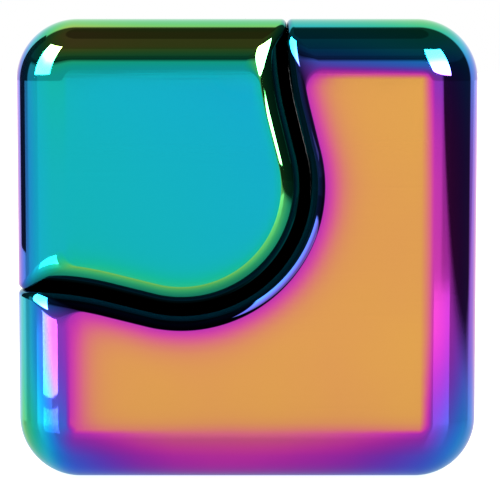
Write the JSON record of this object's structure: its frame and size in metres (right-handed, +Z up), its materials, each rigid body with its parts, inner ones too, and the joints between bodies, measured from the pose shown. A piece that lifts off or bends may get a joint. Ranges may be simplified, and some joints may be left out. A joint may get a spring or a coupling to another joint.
{
  "type": "magnetic desk sculpture",
  "caption": "Rounded mirror-finish cube in two pieces: a lobe that pulls off along the diagonal, and an L-shaped elbow that magnets hold round it.",
  "frame": {"origin": "centre of the underside of the cube", "axes": "+Z up; the front, where the joint shows as a curve, faces -Y; the lobe is at -X and +Z"},
  "size_m": [0.06, 0.06, 0.06],
  "materials": {
    "lobe_coat": "mirror-polished zinc casting with a teal and green iridescent coat",
    "elbow_coat": "mirror-polished zinc casting with an orange and magenta iridescent coat",
    "magnet_plating": "bright nickel plating",
    "keeper_steel": "rolled mild steel, zinc-plated",
    "screw_steel": "turned stainless steel"
  },
  "bodies": {
    "elbow": {"elbow_shell": "elbow_coat", "elbow_cover": "elbow_coat", "elbow_nose_magnets": "magnet_plating", "elbow_upper_magnets": "magnet_plating", "elbow_lower_magnets": "magnet_plating", "elbow_nose_keeper": "keeper_steel", "elbow_upper_keeper": "keeper_steel", "elbow_lower_keeper": "keeper_steel", "elbow_screws": "screw_steel"},
    "lobe": {"lobe_shell": "lobe_coat", "lobe_cover": "lobe_coat", "lobe_nose_magnets": "magnet_plating", "lobe_upper_magnets": "magnet_plating", "lobe_lower_magnets": "magnet_plating", "lobe_nose_keeper": "keeper_steel", "lobe_upper_keeper": "keeper_steel", "lobe_lower_keeper": "keeper_steel", "lobe_screws": "screw_steel"}
  },
  "joints": [
    {"name": "lobe_pull_off", "type": "slide", "parent": "elbow", "child": "lobe", "axis": [-0.7071, 0, 0.7071], "range_m": [0, 0.045]}
  ]
}
